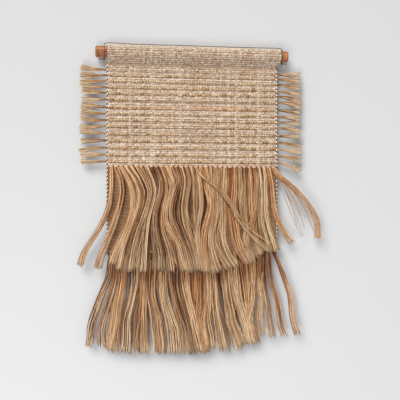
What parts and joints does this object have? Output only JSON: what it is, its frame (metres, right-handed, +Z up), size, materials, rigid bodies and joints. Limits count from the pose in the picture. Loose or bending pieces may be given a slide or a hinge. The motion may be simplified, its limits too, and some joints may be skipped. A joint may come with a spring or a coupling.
{
  "type": "tapestry wall hanging",
  "caption": "Woven wall hanging on a dowel in a rod pocket, with tufts along both side edges, two tiers of long knotted fringe and a cord tied to the dowel.",
  "frame": {"origin": "middle of the dowel, on its axis, which is the line that the wall fixings carry", "axes": "+Z up, -Y out of the wall towards the viewer, +X to the viewer's right along the dowel"},
  "size_m": [0.5536, 0.0344, 0.7018],
  "materials": {
    "stained_wood": "satin stained hardwood dowel, end grain darker",
    "twine": "matte two-ply twine",
    "woven_cotton": "matte plain weave with raised float rows",
    "sewing_thread": "matte thread",
    "selvedge_yarn": "matte twisted yarn",
    "knot_yarn": "matte yarn, slightly shiny on the bends",
    "fringe_yarn": "matte to silky combed yarn",
    "tuft_yarn": "matte to silky combed yarn"
  },
  "bodies": {
    "rod": {"rod": "stained_wood"},
    "cord": {"hanging_cord": "twine", "cord_knot_left": "twine", "cord_knot_right": "twine"},
    "cloth": {"woven_cloth": "woven_cotton", "pocket_seam_thread": "sewing_thread", "selvedge_cord_left": "selvedge_yarn", "selvedge_cord_right": "selvedge_yarn", "upper_knot_row": "knot_yarn", "lower_knot_row": "knot_yarn"},
    "upper_fringe": {"upper_hanks_01": "fringe_yarn", "upper_hanks_02": "fringe_yarn", "upper_hanks_03": "fringe_yarn", "upper_hanks_04": "fringe_yarn", "upper_hanks_05": "fringe_yarn", "upper_hanks_06": "fringe_yarn", "upper_hanks_07": "fringe_yarn", "upper_hanks_08": "fringe_yarn", "upper_hanks_09": "fringe_yarn", "upper_hanks_10": "fringe_yarn", "upper_hanks_11": "fringe_yarn", "upper_hanks_12": "fringe_yarn", "upper_hanks_13": "fringe_yarn", "upper_hanks_14": "fringe_yarn", "upper_hanks_15": "fringe_yarn", "upper_hanks_16": "fringe_yarn", "upper_hanks_17": "fringe_yarn"},
    "lower_fringe": {"lower_hanks_01": "fringe_yarn", "lower_hanks_02": "fringe_yarn", "lower_hanks_03": "fringe_yarn", "lower_hanks_04": "fringe_yarn", "lower_hanks_05": "fringe_yarn", "lower_hanks_06": "fringe_yarn", "lower_hanks_07": "fringe_yarn", "lower_hanks_08": "fringe_yarn", "lower_hanks_09": "fringe_yarn", "lower_hanks_10": "fringe_yarn", "lower_hanks_11": "fringe_yarn", "lower_hanks_12": "fringe_yarn", "lower_hanks_13": "fringe_yarn", "lower_hanks_14": "fringe_yarn", "lower_hanks_15": "fringe_yarn", "lower_hanks_16": "fringe_yarn", "lower_hanks_17": "fringe_yarn"},
    "left_tufts": {"left_tufts_01": "tuft_yarn", "left_tufts_02": "tuft_yarn", "left_tufts_03": "tuft_yarn", "left_tufts_04": "tuft_yarn", "left_tufts_05": "tuft_yarn", "left_tufts_06": "tuft_yarn", "left_tufts_07": "tuft_yarn", "left_tufts_08": "tuft_yarn"},
    "right_tufts": {"right_tufts_01": "tuft_yarn", "right_tufts_02": "tuft_yarn", "right_tufts_03": "tuft_yarn", "right_tufts_04": "tuft_yarn", "right_tufts_05": "tuft_yarn", "right_tufts_06": "tuft_yarn", "right_tufts_07": "tuft_yarn", "right_tufts_08": "tuft_yarn"}
  },
  "joints": [
    {"name": "cloth_swing", "type": "hinge", "parent": "rod", "child": "cloth", "pos_m": [0, 0, 0], "axis": [-1, 0, 0], "range_deg": [-1, 80]},
    {"name": "hanging_cord_swing", "type": "hinge", "parent": "rod", "child": "cord", "pos_m": [0, 0, 0], "axis": [-1, 0, 0], "range_deg": [-25, 60]},
    {"name": "upper_fringe_lift", "type": "hinge", "parent": "cloth", "child": "upper_fringe", "pos_m": [0, -0.004, -0.256], "axis": [-1, 0, 0], "range_deg": [0, 80]},
    {"name": "lower_fringe_lift", "type": "hinge", "parent": "cloth", "child": "lower_fringe", "pos_m": [0, -0.0037, -0.508], "axis": [-1, 0, 0], "range_deg": [-4, 80]},
    {"name": "left_tufts_flex", "type": "hinge", "parent": "cloth", "child": "left_tufts", "pos_m": [-0.1963, 0, -0.142], "axis": [0, 0, 1], "range_deg": [-12, 75], "stiffness_Nm_per_rad": 0.004},
    {"name": "right_tufts_flex", "type": "hinge", "parent": "cloth", "child": "right_tufts", "pos_m": [0.1963, 0, -0.142], "axis": [0, 0, -1], "range_deg": [-12, 75], "stiffness_Nm_per_rad": 0.004}
  ]
}
